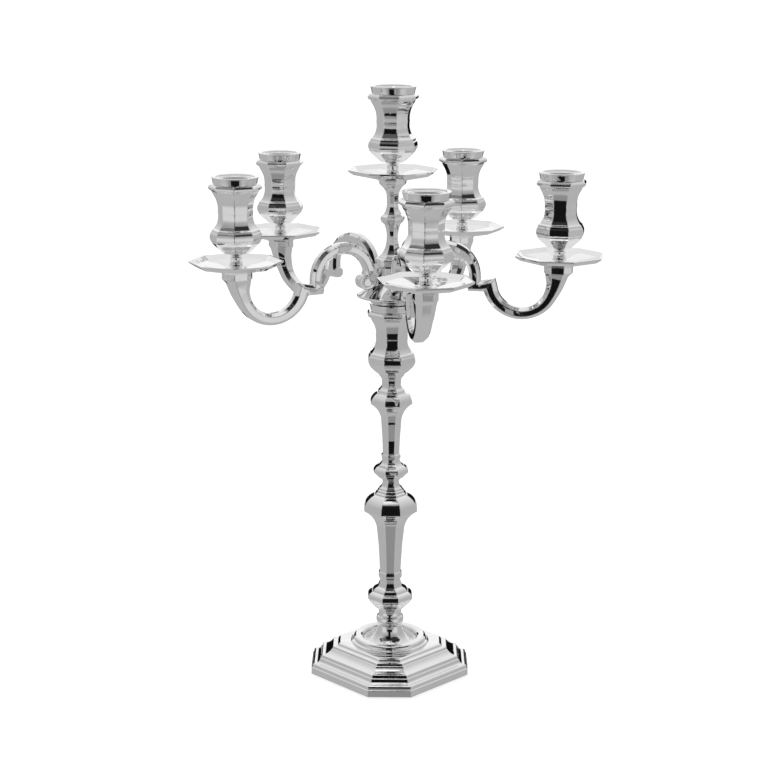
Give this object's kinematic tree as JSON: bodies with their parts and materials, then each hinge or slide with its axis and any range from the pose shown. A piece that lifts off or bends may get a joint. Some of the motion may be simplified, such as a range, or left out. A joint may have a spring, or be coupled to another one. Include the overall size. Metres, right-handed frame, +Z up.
{
  "type": "tabletop candelabra",
  "caption": "Polished silver candelabra: a faceted baluster candlestick on a canted base, with a lift-off branch of scroll arms, drip pans and vase-shaped candle cups.",
  "frame": {"origin": "where the stem's axis meets the table, on the underside of the felt", "axes": "+Z up along the stem; +X to the right and +Y away when one narrow side of the base faces the viewer"},
  "size_m": [0.3458, 0.3446, 0.5201],
  "materials": {
    "silver": "polished silver plate",
    "steel": "zinc plated steel",
    "iron": "rough cast",
    "felt": "dark felt"
  },
  "bodies": {
    "candlestick": {"base_felt": "felt", "base_cover": "steel", "base_weight": "iron", "base_shell": "silver", "rod_nut": "steel", "rod_washer": "steel", "stem_rod": "steel", "foot_trumpet": "silver", "lower_knop": "silver", "lower_baluster": "silver", "middle_knop": "silver", "upper_baluster": "silver", "stem_cup": "silver"},
    "stem_nozzle": {"stem_nozzle": "silver"},
    "branch": {"branch_plug": "silver", "branch_nut": "steel", "branch_washer": "steel", "centre_rod": "steel", "hub_flange": "silver", "hub_body": "silver", "hub_collar": "silver", "arm_pins": "steel", "cup_studs": "steel", "centre_stem_lower": "silver", "centre_stem_knop": "silver", "centre_stem_upper": "silver", "centre_pan": "silver", "centre_cup": "silver", "arm_1": "silver", "arm_2": "silver", "arm_3": "silver", "arm_4": "silver", "arm_5": "silver", "pan_1": "silver", "pan_2": "silver", "pan_3": "silver", "pan_4": "silver", "pan_5": "silver", "cup_1": "silver", "cup_2": "silver", "cup_3": "silver", "cup_4": "silver", "cup_5": "silver"},
    "centre_nozzle": {"centre_nozzle": "silver"},
    "nozzle_1": {"nozzle_1": "silver"},
    "nozzle_2": {"nozzle_2": "silver"},
    "nozzle_3": {"nozzle_3": "silver"},
    "nozzle_4": {"nozzle_4": "silver"},
    "nozzle_5": {"nozzle_5": "silver"}
  },
  "joints": [
    {"name": "branch_turn", "type": "hinge", "parent": "candlestick", "child": "stem_nozzle", "pos_m": [0, 0, 0.335], "axis": [0, 0, 1], "continuous": true},
    {"name": "branch_lift", "type": "slide", "parent": "stem_nozzle", "child": "branch", "axis": [0, 0, 1], "range_m": [0, 0.06]},
    {"name": "centre_nozzle_lift", "type": "slide", "parent": "branch", "child": "centre_nozzle", "axis": [0, 0, 1], "range_m": [0, 0.035]},
    {"name": "nozzle_1_lift", "type": "slide", "parent": "branch", "child": "nozzle_1", "axis": [0, 0, 1], "range_m": [0, 0.035]},
    {"name": "nozzle_2_lift", "type": "slide", "parent": "branch", "child": "nozzle_2", "axis": [0, 0, 1], "range_m": [0, 0.035]},
    {"name": "nozzle_3_lift", "type": "slide", "parent": "branch", "child": "nozzle_3", "axis": [0, 0, 1], "range_m": [0, 0.035]},
    {"name": "nozzle_4_lift", "type": "slide", "parent": "branch", "child": "nozzle_4", "axis": [0, 0, 1], "range_m": [0, 0.035]},
    {"name": "nozzle_5_lift", "type": "slide", "parent": "branch", "child": "nozzle_5", "axis": [0, 0, 1], "range_m": [0, 0.035]}
  ]
}
